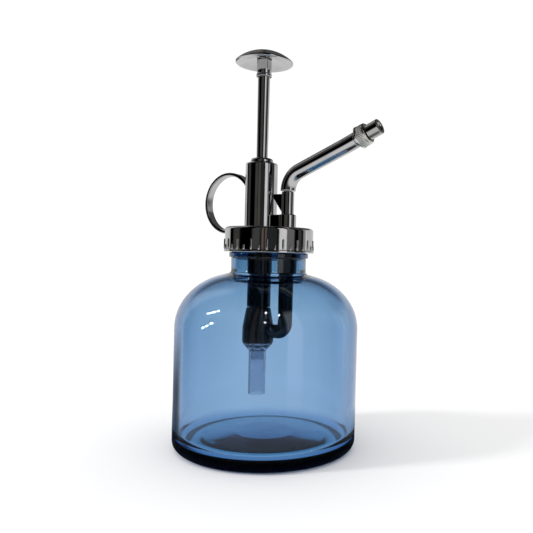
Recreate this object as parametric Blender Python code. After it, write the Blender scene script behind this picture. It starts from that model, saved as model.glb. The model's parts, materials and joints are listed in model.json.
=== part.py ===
"""Glass hand mister: a screw-top bottle and a finger-and-thumb pump with an adjustable nozzle.

The origin is the centre of the bottle's base, +Z is up and +X points along the spout. Every size below
is in millimetres, and new_piece() turns them into metres. Pieces that touch on the real object stand
GAP apart.
"""

import bmesh
import bpy
from math import asin, cos, degrees, pi, radians, sin
from mathutils import Matrix, Vector

MM = 0.001
GAP = 0.3

# Bottle
BOTTLE_RADIUS = 42.5
WALL = 3.0
HEEL = 4.5
BODY_TOP = 55.4
SHOULDER_CENTRE = 13.5
SHOULDER_RISE = 25.4
SHOULDER_THINNING = 1.5
FLOOR_EDGE = 4.7
FLOOR_CENTRE = 7.5
FLOOR_SLOPE_RADIUS = 28.5
FLOOR_DOME_RADIUS = 14.0
FLOOR_CORNER = 4.0
NECK_RADIUS = 17.45
NECK_BORE = 15.2
NECK_FOOT = 80.8
NECK_FILLET = 0.8
BEAD_RADIUS = 18.45
BEAD_BOTTOM = 88.1
BEAD_TOP = 90.3
BOTTLE_TOP = 99.2

# Screw thread between the bottle and the pump head
PITCH = 4.23
GLASS_CREST = 18.65
THREAD_START = 92.0
THREAD_TURN = 450.0
CAP_THREAD_FROM = 160.0
THREAD_SINK = 0.3
GLASS_ROOT_HALF = 1.25
GLASS_CREST_HALF = 0.55
CAP_ROOT_HALF = 0.8
CAP_CREST_HALF = 0.4
THREAD_SIDES = 32

# Pump head
CAP_BOTTOM = 90.6
CAP_TOP = 102.2
CAP_RADIUS = 20.6
CAP_LIP_RADIUS = 21.0
CAP_LIP_HEIGHT = 0.9
CAP_LIP_SLOPE = 0.3
CAP_EDGE = 1.6
CAP_BORE = 19.05
DECK_UNDERSIDE = 100.8
RIB_PAIRS = 18
RIB_HALF_WIDTH = 0.55
LONG_RIB_TOP = 96.6
SHORT_RIB_TOP = 94.0
RIB_BOTTOM = 91.8
RIB_SLOPE = 0.6
PUMP_X = -5.5
BARREL_RADIUS = 7.6
BARREL_BORE = 6.2
BARREL_TOP = 132.5
BARREL_EDGE = 0.7
SPOUT_X = 10.2
BOSS_RADIUS = 4.05
BOSS_TOP = 108.2
BOSS_EDGE = 0.4
WEB_THICKNESS = 4.4
POST_RADIUS = 2.9
POST_TOP = 118.6
POST_BORE = 2.3
WATERWAY = 1.8
POST_FLOOR = 111.0
BRACE_THICKNESS = 2.4
BRACE_TOP = 117.8
BRACE_FOOT = 109.0
BRACE_TIP = 1.5
OVERLAP = 0.6
GUIDE_RADIUS = 5.4
GUIDE_HEIGHT = 2.4
GUIDE_EDGE = 1.5
GUIDE_BOTTOM = 130.9
ROD_CLEARANCE = 0.25

# Finger ring, in the plane of the pump and the spout
RING_X = -24.5
RING_Z = 114.0
RING_OUTER = 14.9
RING_THICKNESS = 1.6
RING_WIDTH = 4.3
RING_END = 287.0

# Plunger
ROD_TOP_RADIUS = 2.92
ROD_RADIUS = 2.7
ROD_TAPER_FROM = 134.0
ROD_TAIL_RADIUS = 1.5
STUD_RADIUS = 2.0
STUD_TOP = 182.3
COLLAR_BOTTOM = 173.2
COLLAR_BORE = 3.25
COLLAR_RADIUS = 3.45
COLLAR_LIP_RADIUS = 3.75
COLLAR_LIP_HEIGHT = 0.8
BUTTON_UNDERSIDE = 179.2
BUTTON_RIM = 180.1
BUTTON_TOP = 185.3
BUTTON_RADIUS = 13.6
PISTON_TOP = 129.0
PISTON_BOTTOM = 121.0
PISTON_BORE = 1.8
PISTON_CLEARANCE = 0.25
GROOVE_BOTTOM = 123.6
GROOVE_TOP = 126.4
GROOVE_RADIUS = 3.2
SEAL_CLEARANCE = 0.09
SEAL_EDGE = 0.5
NUT_RADIUS = 3.0
NUT_HEIGHT = 2.0

# Pump cylinder and the valves at its foot
CYLINDER_BORE = 4.4
CYLINDER_TOP_RADIUS = 5.9
CYLINDER_RADIUS = 5.6
CYLINDER_STEP = 81.0
CYLINDER_BOTTOM = 65.5
CYLINDER_TOP = 129.3
HOUSING_RADIUS = 7.4
HOUSING_BOTTOM = 48.2
HOUSING_SHOULDER = 55.3
HOUSING_SPIGOT_TOP = 68.5
SOCKET_IN_HOUSING = 5.6
HOUSING_DECK = 50.4
INLET_SEAT_TOP = 52.2
SEAT_DEPTH = 1.2
INLET_SEAT_BORE = 1.1
VALVE_BORE = 2.6
PORT_Z = 54.0
PORT_RADIUS = 1.8
FITTING_BORE = 2.0
FITTING_SPIGOT_RADIUS = 3.05
FITTING_BOTTOM = 40.0
FITTING_NECK_RADIUS = 4.4
FITTING_RADIUS = 7.1
FITTING_PLUG_RADIUS = 5.3
FITTING_TOP = 50.1
DIP_RADIUS = 4.05
DIP_BORE = 3.35
DIP_BOTTOM = 23.7
DIP_TOP = 44.1
BALL_RADIUS = 2.0
BALL_Z = 53.4
CAGE_ABOVE_BALL = 1.7
CAGE_HEIGHT = 1.6
CAGE_BORE = 1.2
CAGE_CLEARANCE = 0.15
SPRING_WIRE = 0.7
SPRING_RADIUS = 3.4
SPRING_TURNS = 12

# Delivery side
DELIVERY_RADIUS = 3.35
DELIVERY_BORE = 2.5
ELBOW_BORE = 1.7
ELBOW_SPIGOT_LENGTH = 4.0
DELIVERY_TOP = 91.5
ELBOW_TOP = 60.0
ELBOW_BEND = 4.0
SOCKET_RADIUS = 4.2
SOCKET_BOTTOM = 80.8
OUTLET_BALL_RADIUS = 1.6
OUTLET_BALL_Z = 95.3
OUTLET_CHAMBER = 2.5
OUTLET_SEAT_TOP = 94.2
OUTLET_SEAT_BORE = 0.9
OUTLET_CAGE_BOTTOM = 98.5
OUTLET_CAGE_HEIGHT = 1.2
OUTLET_CAGE_BORE = 0.8

# Spout and nozzle
SPOUT_RISE = 23.5
SPOUT_RADIUS = 3.5
SPOUT_INNER = 1.4
SPOUT_SPIGOT_BOTTOM = 112.2
SPOUT_SETBACK = 0.6
SPOUT_SOCKET_RADIUS = 2.7
SPOUT_SOCKET_DEPTH = 6.0
SPOUT_BEND = 9.5
SPOUT_BEND_START = 118.9
NOZZLE_X = 46.4
NOZZLE_Z = 140.3

# Nozzle pieces: distances along the nozzle's axis, and radii
NIPPLE_BORE = 1.2
NIPPLE_PLUG = (-5.5, 2.4)
NIPPLE_FLANGE = (-0.3, 0.5, 3.7)
NIPPLE_THREAD = (3.4, 2.6)
NUT_BORE = 2.95
NUT_FLANGE = (0.8, 1.6, 5.0)
NUT_BODY = (1.8, 4.6, 4.7)
NUT_FRONT = (4.8, 5.6, 4.45)
NUT_COUNTERBORE = (5.0, 3.3)
KNURL_BARS = 16
KNURL_RADIUS = 4.6
KNURL_MIDDLE = 3.2
KNURL_SIZE = (0.6, 0.7, 2.6)
TIP_RADIUS = 3.0
TIP_BORE = 2.2
TIP_BACK = 5.3
TIP_FRONT = 11.3
TIP_FACE_BACK = 10.2
TIP_FACE_RADIUS = 2.4
ORIFICE_RADIUS = 0.45
ORIFICE_CONE = (10.6, 0.8)
WASHER = (2.6, 1.2, 3.7, 4.7)
INSERT = (1.7, 6.2, 9.8)


def clear_scene():
    for obj in list(bpy.data.objects):
        bpy.data.objects.remove(obj, do_unlink=True)


def finish(name, colour, metallic, roughness, alpha=1.0, transmission=0.0):
    """A Principled material, shared by the pieces that are made of it."""
    material = bpy.data.materials.new(name)
    material.use_nodes = True
    shader = material.node_tree.nodes["Principled BSDF"]
    shader.inputs["Base Color"].default_value = (*colour, 1.0)
    shader.inputs["Metallic"].default_value = metallic
    shader.inputs["Roughness"].default_value = roughness
    shader.inputs["Alpha"].default_value = alpha
    shader.inputs["Transmission Weight"].default_value = transmission
    return material


def axis_empty(name, x, z=0.0, tilt=0.0):
    """An empty on an axis in the XZ plane; tilt turns its +Z from vertical towards +X, in degrees."""
    empty = bpy.data.objects.new(name, None)
    empty.location = (x * MM, 0.0, z * MM)
    empty.rotation_euler = (0.0, radians(tilt), 0.0)
    bpy.context.scene.collection.objects.link(empty)
    return empty


def new_piece(name, shape, parent, material, helper=False):
    """Turns a bmesh in millimetres into an object. A helper is a Boolean's operand, and isn't a sub-part."""
    bmesh.ops.remove_doubles(shape, verts=shape.verts, dist=0.0005)
    bmesh.ops.recalc_face_normals(shape, faces=shape.faces)
    bmesh.ops.scale(shape, vec=(MM, MM, MM), verts=shape.verts)
    mesh = bpy.data.meshes.new(name)
    shape.to_mesh(mesh)
    shape.free()
    mesh.shade_smooth()
    mesh.set_sharp_from_angle(angle=radians(35))
    obj = bpy.data.objects.new(name, mesh)
    obj.parent = parent
    if material:
        mesh.materials.append(material)
    if helper:
        obj.hide_render = True
        obj.display_type = "WIRE"
    bpy.context.scene.collection.objects.link(obj)
    return obj


def combine(piece, operand, operation):
    modifier = piece.modifiers.new(f"{operation.lower()} {operand.name}", "BOOLEAN")
    modifier.operation = operation
    modifier.object = operand
    modifier.solver = "EXACT"


def fuse(piece, operand):
    combine(piece, operand, "UNION")


def cut(piece, operand):
    combine(piece, operand, "DIFFERENCE")


def arc(centre_r, centre_z, radius_r, radius_z, start, end, steps):
    """Points on an ellipse in the (radius, height) plane, from one angle to another, in degrees."""
    angles = [radians(start + (end - start) * i / steps) for i in range(steps + 1)]
    return [(centre_r + radius_r * cos(a), centre_z + radius_z * sin(a)) for a in angles]


def turned(outline, sides, hollow=False):
    """A bmesh turned from (radius, height) points. A hollow outline is a closed loop clear of the axis."""
    shape = bmesh.new()
    points = [shape.verts.new((r, 0.0, z)) for r, z in outline]
    edges = [shape.edges.new(pair) for pair in zip(points, points[1:])]
    if hollow:
        edges.append(shape.edges.new((points[-1], points[0])))
    bmesh.ops.spin(
        shape,
        geom=points + edges,
        angle=2 * pi,
        steps=sides,
        axis=(0, 0, 1),
        cent=(0, 0, 0),
        use_merge=True,
    )
    return shape


def tube_outline(outer, inner, bottom, top):
    return [(outer, bottom), (outer, top), (inner, top), (inner, bottom)]


def rod_outline(radius, bottom, top):
    return [(0, bottom), (radius, bottom), (radius, top), (0, top)]


def swept(stations, sides):
    """A pipe through stations of (point, direction, outer radius, inner radius) in the XZ plane."""
    shape = bmesh.new()
    across = Vector((0, 1, 0))
    loops = []
    for point, direction, *radii in stations:
        upward = Vector(direction).cross(across).normalized()
        pair = []
        for radius in radii:
            ring = []
            for i in range(sides):
                angle = 2 * pi * i / sides
                offset = across * cos(angle) + upward * sin(angle)
                ring.append(shape.verts.new(Vector(point) + offset * radius))
            pair.append(ring)
        loops.append(pair)
    for near, far in zip(loops, loops[1:]):
        for skin in (0, 1):
            join_loops(shape, near[skin], far[skin])
    for end in (loops[0], loops[-1]):
        join_loops(shape, end[0], end[1])
    return shape


def join_loops(shape, first, second):
    count = len(first)
    for i in range(count):
        j = (i + 1) % count
        shape.faces.new((first[i], first[j], second[j], second[i]))


def bend_stations(start, turn, radius, steps, outer, inner):
    """Stations along a bend that starts upwards at (x, z) and leans towards +X by turn degrees."""
    found = []
    for i in range(steps + 1):
        angle = radians(turn * i / steps)
        x = start[0] + radius * (1 - cos(angle))
        z = start[1] + radius * sin(angle)
        found.append(((x, 0, z), (sin(angle), 0, cos(angle)), outer, inner))
    return found


def thread_ridge(root, crest, root_half, crest_half, first_turn, base_z, sides):
    """A single-start right-hand ridge with tapered ends. Its angles are in degrees from +X."""
    shape = bmesh.new()
    steps = round(THREAD_TURN / 360 * sides)
    run_in = 3
    sections = []
    for i in range(steps + 1):
        turn = first_turn + THREAD_TURN * i / steps
        fade = min(1.0, (min(i, steps - i) + 0.3) / run_in)
        tip = root + (crest - root) * fade
        height = base_z + PITCH * turn / 360
        angle = radians(turn)
        corners = [
            (root, -root_half),
            (tip, -crest_half),
            (tip, crest_half),
            (root, root_half),
        ]
        sections.append(
            [shape.verts.new((r * cos(angle), r * sin(angle), height + dz)) for r, dz in corners]
        )
    for near, far in zip(sections, sections[1:]):
        join_loops(shape, near, far)
    shape.faces.new(sections[0])
    shape.faces.new(sections[-1])
    return shape


def prism(outline, half_thickness):
    """A plate in the XZ plane from (x, z) points, thick along Y."""
    shape = bmesh.new()
    near = [shape.verts.new((x, -half_thickness, z)) for x, z in outline]
    far = [shape.verts.new((x, half_thickness, z)) for x, z in outline]
    shape.faces.new(near)
    shape.faces.new(far)
    join_loops(shape, near, far)
    return shape


def ball(radius, height):
    shape = bmesh.new()
    bmesh.ops.create_uvsphere(
        shape, u_segments=14, v_segments=9, radius=radius, matrix=Matrix.Translation((0, 0, height))
    )
    return shape


def helper(name, shape, parent=None):
    return new_piece(name, shape, parent, None, helper=True)


def bottle(material):
    """Thick-based body, elliptical shoulder, beaded neck and a threaded finish."""
    inner_centre = SHOULDER_CENTRE - SHOULDER_THINNING
    inner_wall = BOTTLE_RADIUS - WALL
    shoulder = BOTTLE_RADIUS - SHOULDER_CENTRE
    inner_shoulder = inner_wall - inner_centre
    outline = [(0, 0)]
    outline += arc(BOTTLE_RADIUS - HEEL, HEEL, HEEL, HEEL, -90, 0, 4)
    outline += arc(SHOULDER_CENTRE, BODY_TOP, shoulder, SHOULDER_RISE, 0, 77, 8)
    outline += [(NECK_RADIUS + NECK_FILLET, NECK_FOOT), (NECK_RADIUS, NECK_FOOT + 2 * NECK_FILLET)]
    outline += [(NECK_RADIUS, BEAD_BOTTOM)]
    outline += [(BEAD_RADIUS, BEAD_BOTTOM + 0.4), (BEAD_RADIUS, BEAD_TOP - 0.4)]
    outline += [(NECK_RADIUS, BEAD_TOP), (NECK_RADIUS, BOTTLE_TOP - 0.5)]
    outline += [(NECK_RADIUS - 0.5, BOTTLE_TOP), (NECK_BORE + 0.4, BOTTLE_TOP)]
    outline += [(NECK_BORE, BOTTLE_TOP - 0.4)]
    outline += arc(inner_centre, BODY_TOP, inner_shoulder, SHOULDER_RISE - 1.4, 83, 0, 6)
    corner_rise = FLOOR_CORNER + 1
    outline += arc(inner_wall - FLOOR_CORNER, FLOOR_EDGE + corner_rise, FLOOR_CORNER, corner_rise, 0, -90, 3)
    outline += [(FLOOR_SLOPE_RADIUS, FLOOR_EDGE + 0.6), (FLOOR_DOME_RADIUS, FLOOR_CENTRE - 0.5)]
    outline += [(0, FLOOR_CENTRE)]
    piece = new_piece("bottle", turned(outline, 40), None, material)
    root = NECK_RADIUS - THREAD_SINK
    ridge = thread_ridge(
        root, GLASS_CREST, GLASS_ROOT_HALF, GLASS_CREST_HALF, 0, THREAD_START, THREAD_SIDES
    )
    fuse(piece, helper("bottle_thread", ridge))


def grip_ribs():
    """Long and short ribs in turn round the skirt, each a rounded bar with a sloping top."""
    shape = bmesh.new()
    reach = CAP_LIP_RADIUS + 0.05
    root = CAP_RADIUS - OVERLAP
    for i in range(2 * RIB_PAIRS):
        top = (LONG_RIB_TOP, SHORT_RIB_TOP)[i % 2]
        turn = Matrix.Rotation(2 * pi * (i + 0.5) / (2 * RIB_PAIRS), 3, "Z")
        near, far = (
            [
                shape.verts.new(turn @ Vector((r, side * RIB_HALF_WIDTH, z)))
                for r, z in ((root, RIB_BOTTOM), (reach, RIB_BOTTOM), (reach, top - RIB_SLOPE), (root, top))
            ]
            for side in (-1, 1)
        )
        shape.faces.new(near)
        shape.faces.new(far)
        join_loops(shape, near, far)
    return shape


def finger_ring():
    """The ring's band as an arc from inside the barrel's wall, over the left, to inside the skirt's wall."""
    inner = RING_OUTER - RING_THICKNESS
    middle = RING_OUTER - RING_THICKNESS / 2
    barrel_wall = PUMP_X - (BARREL_RADIUS + BARREL_BORE) / 2
    start = 90 - degrees(asin((barrel_wall - RING_X) / middle))
    steps = 26
    shape = bmesh.new()
    sections = []
    for i in range(steps + 1):
        angle = radians(start + (RING_END - start) * i / steps)
        section = []
        for radius, side in ((inner, -1), (RING_OUTER, -1), (RING_OUTER, 1), (inner, 1)):
            x = RING_X + radius * cos(angle)
            z = RING_Z + radius * sin(angle)
            section.append(shape.verts.new((x, side * RING_WIDTH / 2, z)))
        sections.append(section)
    for near, far in zip(sections, sections[1:]):
        join_loops(shape, near, far)
    shape.faces.new(sections[0])
    shape.faces.new(sections[-1])
    return shape


def pump_head(pump_axis, spout_axis, material):
    """One moulding: ribbed screw skirt, deck, barrel, spout boss and post, brace and finger ring."""
    lip_top = CAP_BOTTOM + CAP_LIP_HEIGHT
    outline = [(CAP_LIP_RADIUS, CAP_BOTTOM), (CAP_LIP_RADIUS, lip_top), (CAP_RADIUS, lip_top + CAP_LIP_SLOPE)]
    outline += arc(CAP_RADIUS - CAP_EDGE, CAP_TOP - CAP_EDGE, CAP_EDGE, CAP_EDGE, 0, 90, 4)
    outline += [(0, CAP_TOP), (0, DECK_UNDERSIDE), (CAP_BORE, DECK_UNDERSIDE), (CAP_BORE, CAP_BOTTOM)]
    piece = new_piece("pump_head", turned(outline + outline[:1], 48), None, material)

    root = CAP_TOP - OVERLAP
    barrel = [(0, root), (BARREL_RADIUS, root), (BARREL_RADIUS, BARREL_TOP - BARREL_EDGE)]
    barrel += [(BARREL_RADIUS - BARREL_EDGE, BARREL_TOP), (0, BARREL_TOP)]
    fuse(piece, helper("barrel_blank", turned(barrel, 32), pump_axis))
    boss = [(0, root), (BOSS_RADIUS, root), (BOSS_RADIUS, BOSS_TOP - BOSS_EDGE)]
    boss += [(BOSS_RADIUS - BOSS_EDGE, BOSS_TOP), (POST_RADIUS, BOSS_TOP), (POST_RADIUS, POST_TOP)]
    boss += [(0, POST_TOP)]
    fuse(piece, helper("boss_and_post", turned(boss, 24), spout_axis))
    web_top = BOSS_TOP - 0.1
    web = [(PUMP_X, root), (SPOUT_X, root), (SPOUT_X, web_top), (PUMP_X, web_top)]
    fuse(piece, helper("boss_web", prism(web, WEB_THICKNESS / 2)))
    barrel_side = PUMP_X + BARREL_RADIUS - OVERLAP
    post_side = SPOUT_X - POST_RADIUS + OVERLAP / 2
    brace = [(barrel_side, BRACE_TOP), (barrel_side, BRACE_TOP - BRACE_TIP), (post_side, BRACE_FOOT)]
    brace += [(post_side, BRACE_TOP)]
    fuse(piece, helper("spout_brace", prism(brace, BRACE_THICKNESS / 2)))
    fuse(piece, helper("finger_ring", finger_ring()))
    fuse(piece, helper("grip_ribs", grip_ribs()))
    ridge = thread_ridge(
        CAP_BORE + THREAD_SINK,
        NECK_RADIUS + 0.4,
        CAP_ROOT_HALF,
        CAP_CREST_HALF,
        CAP_THREAD_FROM,
        THREAD_START - PITCH / 2,
        THREAD_SIDES,
    )
    fuse(piece, helper("skirt_thread", ridge))

    bore = rod_outline(BARREL_BORE, DECK_UNDERSIDE - 1, BARREL_TOP + 1)
    cut(piece, helper("barrel_bore", turned(bore, 32), pump_axis))
    waterway = [(0, DECK_UNDERSIDE - 1), (WATERWAY, DECK_UNDERSIDE - 1), (WATERWAY, POST_FLOOR)]
    waterway += [(POST_BORE, POST_FLOOR + 0.5), (POST_BORE, POST_TOP + 1), (0, POST_TOP + 1)]
    cut(piece, helper("spout_waterway", turned(waterway, 20), spout_axis))


def rod_guide(pump_axis, metal, rubber):
    """The stepped bush that closes the barrel, and the washer that it holds down on the cylinder."""
    hole = ROD_TOP_RADIUS + ROD_CLEARANCE
    top = BARREL_TOP + GUIDE_HEIGHT
    plug = BARREL_BORE - GAP
    outline = [(hole, GUIDE_BOTTOM), (plug, GUIDE_BOTTOM), (plug, BARREL_TOP)]
    outline += [(GUIDE_RADIUS, BARREL_TOP + 0.1)]
    outline += arc(GUIDE_RADIUS - GUIDE_EDGE, top - GUIDE_EDGE, GUIDE_EDGE, GUIDE_EDGE, 0, 90, 4)
    outline += [(hole, top)]
    new_piece("rod_guide", turned(outline, 24, hollow=True), pump_axis, metal)
    washer = tube_outline(plug, hole, CYLINDER_TOP + GAP, GUIDE_BOTTOM - GAP)
    new_piece("guide_washer", turned(washer, 24, hollow=True), pump_axis, rubber)


def plunger(axis, chrome, steel, plastic, rubber):
    """Button, collar, tapered rod, and the piston held on the rod's end by a nut."""
    dome_rise = BUTTON_TOP - BUTTON_RIM
    dome_radius = (BUTTON_RADIUS**2 + dome_rise**2) / (2 * dome_rise)
    half_angle = degrees(asin(BUTTON_RADIUS / dome_radius))
    hole = STUD_RADIUS + GAP
    button = [(0, STUD_TOP + GAP), (hole, STUD_TOP + GAP), (hole, BUTTON_UNDERSIDE)]
    button += [(BUTTON_RADIUS - 0.6, BUTTON_UNDERSIDE), (BUTTON_RADIUS, BUTTON_UNDERSIDE + 0.4)]
    button += arc(0, BUTTON_TOP - dome_radius, dome_radius, dome_radius, 90 - half_angle, 90, 6)
    new_piece("thumb_button", turned(button, 40), axis, chrome)
    shoulder = BUTTON_UNDERSIDE - GAP
    lip_top = COLLAR_BOTTOM + COLLAR_LIP_HEIGHT
    collar = [(COLLAR_BORE, COLLAR_BOTTOM), (COLLAR_LIP_RADIUS, COLLAR_BOTTOM), (COLLAR_LIP_RADIUS, lip_top)]
    collar += [(COLLAR_RADIUS, lip_top + 0.5), (COLLAR_RADIUS, shoulder), (COLLAR_BORE, shoulder)]
    new_piece("button_collar", turned(collar, 28, hollow=True), axis, chrome)

    shank_bottom = PISTON_TOP + GAP
    nut_top = PISTON_BOTTOM - GAP
    tail = nut_top - NUT_HEIGHT - 0.2
    rod = [(0, tail), (ROD_TAIL_RADIUS, tail), (ROD_TAIL_RADIUS, shank_bottom), (ROD_RADIUS, shank_bottom)]
    rod += [(ROD_RADIUS, ROD_TAPER_FROM), (ROD_TOP_RADIUS, shoulder)]
    rod += [(STUD_RADIUS, shoulder), (STUD_RADIUS, STUD_TOP), (0, STUD_TOP)]
    new_piece("plunger_rod", turned(rod, 28), axis, chrome)

    body = CYLINDER_BORE - PISTON_CLEARANCE
    piston = [(PISTON_BORE, PISTON_BOTTOM), (body, PISTON_BOTTOM), (body, GROOVE_BOTTOM)]
    piston += [(GROOVE_RADIUS, GROOVE_BOTTOM), (GROOVE_RADIUS, GROOVE_TOP), (body, GROOVE_TOP)]
    piston += [(body, PISTON_TOP), (PISTON_BORE, PISTON_TOP)]
    new_piece("piston", turned(piston, 20, hollow=True), axis, plastic)
    lip = CYLINDER_BORE - SEAL_CLEARANCE
    seal_bore = GROOVE_RADIUS + GAP
    bottom = GROOVE_BOTTOM + GAP
    top = GROOVE_TOP - GAP
    seal = [(seal_bore, bottom), (lip - SEAL_EDGE, bottom), (lip, bottom + SEAL_EDGE)]
    seal += [(lip, top - SEAL_EDGE), (lip - SEAL_EDGE, top), (seal_bore, top)]
    new_piece("piston_seal", turned(seal, 20, hollow=True), axis, rubber)
    nut = turned(tube_outline(NUT_RADIUS, PISTON_BORE, nut_top - NUT_HEIGHT, nut_top), 6, hollow=True)
    new_piece("piston_nut", nut, axis, steel)


def cylinder(axis, plastic):
    """The cylinder hangs through the deck. Its upper half fills the barrel's bore."""
    outline = [(CYLINDER_RADIUS, CYLINDER_BOTTOM), (CYLINDER_RADIUS, CYLINDER_STEP - 0.6)]
    outline += [(CYLINDER_TOP_RADIUS, CYLINDER_STEP), (CYLINDER_TOP_RADIUS, CYLINDER_TOP)]
    outline += [(CYLINDER_BORE, CYLINDER_TOP), (CYLINDER_BORE, CYLINDER_BOTTOM)]
    new_piece("pump_cylinder", turned(outline, 28, hollow=True), axis, plastic)


def valve_housing(axis, plastic):
    """The wide foot: a spigot up into the cylinder, a ball chamber with a seat, and a side port."""
    spigot = CYLINDER_BORE - GAP
    cone_top = CYLINDER_BOTTOM - GAP
    outline = [(SOCKET_IN_HOUSING, HOUSING_BOTTOM), (HOUSING_RADIUS, HOUSING_BOTTOM)]
    outline += [(HOUSING_RADIUS, HOUSING_SHOULDER), (CYLINDER_RADIUS + 0.2, cone_top), (spigot, cone_top)]
    outline += [(spigot, HOUSING_SPIGOT_TOP), (VALVE_BORE, HOUSING_SPIGOT_TOP), (VALVE_BORE, INLET_SEAT_TOP)]
    outline += [(INLET_SEAT_BORE, INLET_SEAT_TOP - SEAT_DEPTH), (INLET_SEAT_BORE, HOUSING_DECK)]
    outline += [(SOCKET_IN_HOUSING, HOUSING_DECK)]
    piece = new_piece("valve_housing", turned(outline, 28, hollow=True), axis, plastic)
    port = bmesh.new()
    bmesh.ops.create_cone(
        port,
        cap_ends=True,
        segments=16,
        radius1=PORT_RADIUS,
        radius2=PORT_RADIUS,
        depth=HOUSING_RADIUS,
        matrix=Matrix.Translation((3 / 4 * HOUSING_RADIUS, 0, PORT_Z)) @ Matrix.Rotation(pi / 2, 4, "Y"),
    )
    cut(piece, helper("side_port", port, axis))


def inlet(axis, clear, steel, plastic):
    """Translucent fitting, dip tube, and the ball with the cage that limits its lift."""
    rim = HOUSING_BOTTOM - GAP
    foot = DIP_TOP + GAP
    outline = [(FITTING_BORE, FITTING_BOTTOM), (FITTING_SPIGOT_RADIUS, FITTING_BOTTOM)]
    outline += [(FITTING_SPIGOT_RADIUS, foot), (FITTING_NECK_RADIUS, foot), (FITTING_RADIUS, rim)]
    outline += [(FITTING_PLUG_RADIUS, rim), (FITTING_PLUG_RADIUS, FITTING_TOP), (FITTING_BORE, FITTING_TOP)]
    new_piece("inlet_fitting", turned(outline, 28, hollow=True), axis, clear)
    dip = tube_outline(DIP_RADIUS, DIP_BORE, DIP_BOTTOM, DIP_TOP)
    new_piece("dip_tube", turned(dip, 24, hollow=True), axis, clear)
    new_piece("inlet_ball", ball(BALL_RADIUS, BALL_Z), axis, steel)
    cage_bottom = BALL_Z + BALL_RADIUS + CAGE_ABOVE_BALL
    cage = tube_outline(VALVE_BORE - CAGE_CLEARANCE, CAGE_BORE, cage_bottom, cage_bottom + CAGE_HEIGHT)
    new_piece("inlet_ball_cage", turned(cage, 16, hollow=True), axis, plastic)


def return_spring(axis, steel):
    """Compression spring between the housing's spigot and the piston nut."""
    bottom = HOUSING_SPIGOT_TOP + GAP + SPRING_WIRE / 2
    top = PISTON_BOTTOM - GAP - SPRING_WIRE / 2
    steps = 10 * SPRING_TURNS
    curve = bpy.data.curves.new("return_spring", "CURVE")
    curve.dimensions = "3D"
    curve.bevel_depth = SPRING_WIRE / 2 * MM
    curve.bevel_resolution = 0
    curve.use_fill_caps = True
    line = curve.splines.new("POLY")
    line.points.add(steps)
    for i, point in enumerate(line.points):
        angle = 2 * pi * SPRING_TURNS * i / steps
        height = bottom + (top - bottom) * i / steps
        place = (SPRING_RADIUS * cos(angle), SPRING_RADIUS * sin(angle), height)
        point.co = (*(value * MM for value in place), 1.0)
    curve.materials.append(steel)
    spring = bpy.data.objects.new("return_spring", curve)
    spring.parent = axis
    bpy.context.scene.collection.objects.link(spring)


def delivery(spout_axis, plastic, steel):
    """Elbow from the side port, tube, and the socket under the deck that holds the outlet valve."""
    centre_x = SPOUT_X - ELBOW_BEND
    bend_top = PORT_Z + ELBOW_BEND
    spigot = DELIVERY_BORE - GAP
    start = (PUMP_X + HOUSING_RADIUS + GAP, 0, PORT_Z)
    stations = [(start, (1, 0, 0), DELIVERY_RADIUS, ELBOW_BORE)]
    for i in range(6):
        angle = radians(90 * i / 5)
        place = (centre_x + ELBOW_BEND * sin(angle), 0, bend_top - ELBOW_BEND * cos(angle))
        stations.append((place, (cos(angle), 0, sin(angle)), DELIVERY_RADIUS, ELBOW_BORE))
    top = (SPOUT_X, 0, ELBOW_TOP - GAP)
    stations.append((top, (0, 0, 1), DELIVERY_RADIUS, ELBOW_BORE))
    stations.append((top, (0, 0, 1), spigot, ELBOW_BORE))
    stations.append(((SPOUT_X, 0, ELBOW_TOP + ELBOW_SPIGOT_LENGTH), (0, 0, 1), spigot, ELBOW_BORE))
    new_piece("delivery_elbow", swept(stations, 16), None, plastic)

    tube = tube_outline(DELIVERY_RADIUS, DELIVERY_BORE, ELBOW_TOP, DELIVERY_TOP)
    new_piece("delivery_tube", turned(tube, 20, hollow=True), spout_axis, plastic)
    sleeve = DELIVERY_RADIUS + GAP
    ledge = DELIVERY_TOP + GAP
    deck = DECK_UNDERSIDE - GAP
    outline = [(sleeve, SOCKET_BOTTOM), (SOCKET_RADIUS, SOCKET_BOTTOM), (SOCKET_RADIUS, deck)]
    outline += [(OUTLET_CHAMBER, deck), (OUTLET_CHAMBER, OUTLET_SEAT_TOP)]
    outline += [(OUTLET_SEAT_BORE, OUTLET_SEAT_TOP - SEAT_DEPTH), (OUTLET_SEAT_BORE, ledge), (sleeve, ledge)]
    new_piece("delivery_socket", turned(outline, 20, hollow=True), spout_axis, plastic)
    new_piece("outlet_ball", ball(OUTLET_BALL_RADIUS, OUTLET_BALL_Z), spout_axis, steel)
    cage_radius = OUTLET_CHAMBER - CAGE_CLEARANCE
    cage_top = OUTLET_CAGE_BOTTOM + OUTLET_CAGE_HEIGHT
    cage = tube_outline(cage_radius, OUTLET_CAGE_BORE, OUTLET_CAGE_BOTTOM, cage_top)
    new_piece("outlet_ball_cage", turned(cage, 16, hollow=True), spout_axis, plastic)


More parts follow.
